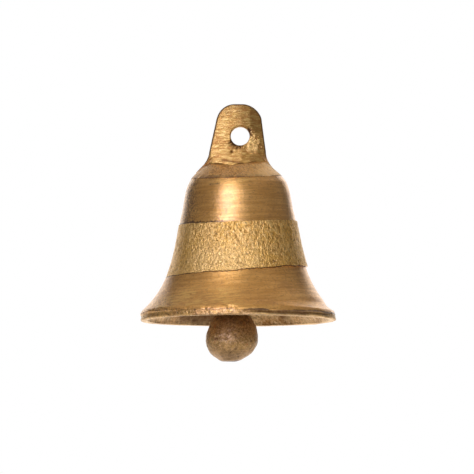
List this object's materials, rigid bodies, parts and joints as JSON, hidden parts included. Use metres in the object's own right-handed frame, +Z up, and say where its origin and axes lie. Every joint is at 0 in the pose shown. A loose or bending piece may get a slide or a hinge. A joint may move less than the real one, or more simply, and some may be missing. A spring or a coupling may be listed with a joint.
{
  "type": "hanging bell",
  "caption": "Small cast brass hanging bell: flared skirt, rough unturned middle band, drilled top lug and a loose pear-shaped clapper on a wire and ring.",
  "frame": {"origin": "centre of the hanging hole, midway through the lug's thickness", "axes": "+Z up, parallel to the bell's axis, which passes 0.6 mm to the left of the hole's centre; +Y through the hanging hole away from the front; +X to the right seen from the front"},
  "size_m": [0.05, 0.05, 0.0653],
  "materials": {
    "bell_brass": "lathe-turned and bright above and below, rough as cast between and inside",
    "clapper_brass": "dull brown, rough as cast",
    "iron_wire": "dull dark iron wire"
  },
  "bodies": {
    "bell": {"bell_casting": "bell_brass", "crown_staple": "iron_wire"},
    "link": {"link_ring": "iron_wire"},
    "clapper": {"clapper_wire": "iron_wire", "clapper_bob": "clapper_brass"}
  },
  "joints": [
    {"name": "link_swing", "type": "hinge", "parent": "bell", "child": "link", "pos_m": [-0.0021, 0, -0.0154], "axis": [1, 0, 0], "range_deg": [-8, 8]},
    {"name": "clapper_swing", "type": "hinge", "parent": "link", "child": "clapper", "pos_m": [-0.0021, 0, -0.01984], "axis": [0, 1, 0], "range_deg": [-29, 24.6]}
  ]
}
